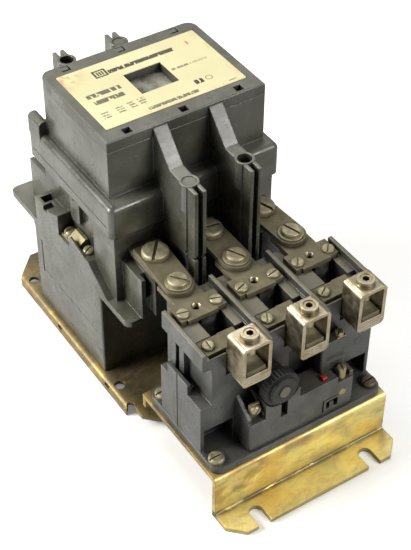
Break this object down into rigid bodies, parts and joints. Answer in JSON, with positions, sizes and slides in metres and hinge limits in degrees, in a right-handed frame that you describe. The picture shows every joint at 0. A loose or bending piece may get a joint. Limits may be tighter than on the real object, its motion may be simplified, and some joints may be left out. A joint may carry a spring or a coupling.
{
  "type": "magnetic motor starter",
  "caption": "Plate-mounted electromagnetic contactor with barrier fins, bolted by copper straps to a thermal overload relay with box lugs and a current dial.",
  "frame": {"origin": "middle of the footprint on the mounting plane, under the flanges of the base plate", "axes": "+Z away from the mounting plane, +Y from the overload relay towards the contactor's line terminals, +X to the right when the relay faces the viewer"},
  "size_m": [0.1046, 0.222, 0.1542],
  "materials": {
    "plated_steel": "yellow chromate zinc plating, satin",
    "zinc_screw": "yellowed zinc, satin",
    "housing_grey": "moulded phenolic, satin, slightly dusty",
    "relay_grey": "moulded phenolic, matte",
    "cover_olive": "moulded, matte",
    "label_cream": "printed film, satin",
    "lens_clear": "clear plastic",
    "tinned_copper": "dull tinned copper",
    "silver_tip": "silver alloy",
    "brass": "satin brass",
    "nickel_lug": "nickel plated, worn",
    "core_steel": "laminated silicon steel",
    "copper_winding": "enamelled wire, taped",
    "bobbin_nylon": "natural nylon",
    "spring_steel": "spring wire",
    "carrier_black": "moulded",
    "indicator_white": "moulded, satin",
    "flag_red": "moulded",
    "dial_black": "moulded",
    "button_ivory": "moulded, satin"
  },
  "bodies": {
    "starter_frame": {"base_plate": "plated_steel", "overload_bracket": "plated_steel", "bracket_screws": "zinc_screw", "contactor_base": "housing_grey", "base_screws": "zinc_screw", "magnet_core": "core_steel", "shading_rings": "tinned_copper", "coil_bobbin": "bobbin_nylon", "coil_winding": "copper_winding", "return_springs": "spring_steel", "contactor_housing": "housing_grey", "coil_terminals": "brass", "coil_terminal_clamp": "brass", "coil_terminal_screws": "zinc_screw", "load_terminals": "tinned_copper", "line_terminals": "tinned_copper", "fixed_contact_tips": "silver_tip", "line_terminal_screws": "zinc_screw", "load_terminal_screws": "zinc_screw", "load_straps": "tinned_copper", "strap_screws": "zinc_screw", "arc_cover": "housing_grey", "top_cover": "cover_olive", "name_label": "label_cream", "window_lens": "lens_clear", "cover_screws": "zinc_screw", "screw_plugs": "cover_olive", "relay_housing": "relay_grey", "relay_line_plates": "tinned_copper", "relay_load_plates": "tinned_copper", "plate_screws": "zinc_screw", "heater_elements": "core_steel", "bimetal_strips": "core_steel", "box_lugs": "nickel_lug", "relay_front_cover": "relay_grey", "trip_contact_block": "relay_grey", "trip_contact_blade": "brass", "signal_terminals": "brass", "signal_terminal_screws": "zinc_screw", "relay_foot_screws": "zinc_screw"},
    "carrier": {"contact_carrier": "carrier_black", "armature": "core_steel", "armature_pin": "spring_steel", "position_indicator": "indicator_white", "contact_spring_left": "spring_steel", "contact_spring_middle": "spring_steel", "contact_spring_right": "spring_steel"},
    "bridge_left": {"contact_bridge_left": "tinned_copper", "bridge_tips_left": "silver_tip"},
    "lug_screw_left": {"lug_screw_left": "nickel_lug"},
    "bridge_middle": {"contact_bridge_middle": "tinned_copper", "bridge_tips_middle": "silver_tip"},
    "lug_screw_middle": {"lug_screw_middle": "nickel_lug"},
    "bridge_right": {"contact_bridge_right": "tinned_copper", "bridge_tips_right": "silver_tip"},
    "lug_screw_right": {"lug_screw_right": "nickel_lug"},
    "trip_bar": {"trip_bar": "carrier_black"},
    "trip_flag": {"trip_flag": "flag_red"},
    "current_dial": {"current_dial": "dial_black"},
    "reset_button": {"reset_button": "button_ivory"}
  },
  "joints": [
    {"name": "contactor_pull_in", "type": "slide", "parent": "starter_frame", "child": "carrier", "axis": [0, 0, -1], "range_m": [0, 0.006], "stiffness_N_per_m": 600, "springref_m": -0.004, "deforming": ["return_springs"]},
    {"name": "bridge_left_overtravel", "type": "slide", "parent": "carrier", "child": "bridge_left", "axis": [0, 0, 1], "range_m": [0, 0.001], "deforming": ["contact_spring_left"]},
    {"name": "bridge_middle_overtravel", "type": "slide", "parent": "carrier", "child": "bridge_middle", "axis": [0, 0, 1], "range_m": [0, 0.001], "deforming": ["contact_spring_middle"]},
    {"name": "bridge_right_overtravel", "type": "slide", "parent": "carrier", "child": "bridge_right", "axis": [0, 0, 1], "range_m": [0, 0.001], "deforming": ["contact_spring_right"]},
    {"name": "trip_bar_slide", "type": "slide", "parent": "starter_frame", "child": "trip_bar", "axis": [1, 0, 0], "range_m": [0, 0.002]},
    {"name": "trip_flag_lift", "type": "slide", "parent": "starter_frame", "child": "trip_flag", "axis": [0, 0, 1], "range_m": [0, 0.003]},
    {"name": "current_dial_turn", "type": "hinge", "parent": "starter_frame", "child": "current_dial", "pos_m": [-0.012, -0.0885, 0.0645], "axis": [0, -1, 0], "range_deg": [-75, 75]},
    {"name": "reset_button_push", "type": "slide", "parent": "starter_frame", "child": "reset_button", "axis": [0, 1, 0], "range_m": [0, 0.003], "stiffness_N_per_m": 200, "springref_m": -0.002},
    {"name": "lug_screw_left_drive", "type": "slide", "parent": "starter_frame", "child": "lug_screw_left", "axis": [0, 0, -1], "range_m": [0, 0.005]},
    {"name": "lug_screw_middle_drive", "type": "slide", "parent": "starter_frame", "child": "lug_screw_middle", "axis": [0, 0, -1], "range_m": [0, 0.005]},
    {"name": "lug_screw_right_drive", "type": "slide", "parent": "starter_frame", "child": "lug_screw_right", "axis": [0, 0, -1], "range_m": [0, 0.005]}
  ],
  "couplings": [
    {"joint": "bridge_left_overtravel", "follows": "contactor_pull_in", "ratio": 0.16666},
    {"joint": "bridge_middle_overtravel", "follows": "contactor_pull_in", "ratio": 0.16666},
    {"joint": "bridge_right_overtravel", "follows": "contactor_pull_in", "ratio": 0.16666},
    {"joint": "trip_flag_lift", "follows": "trip_bar_slide", "ratio": 1.5}
  ]
}
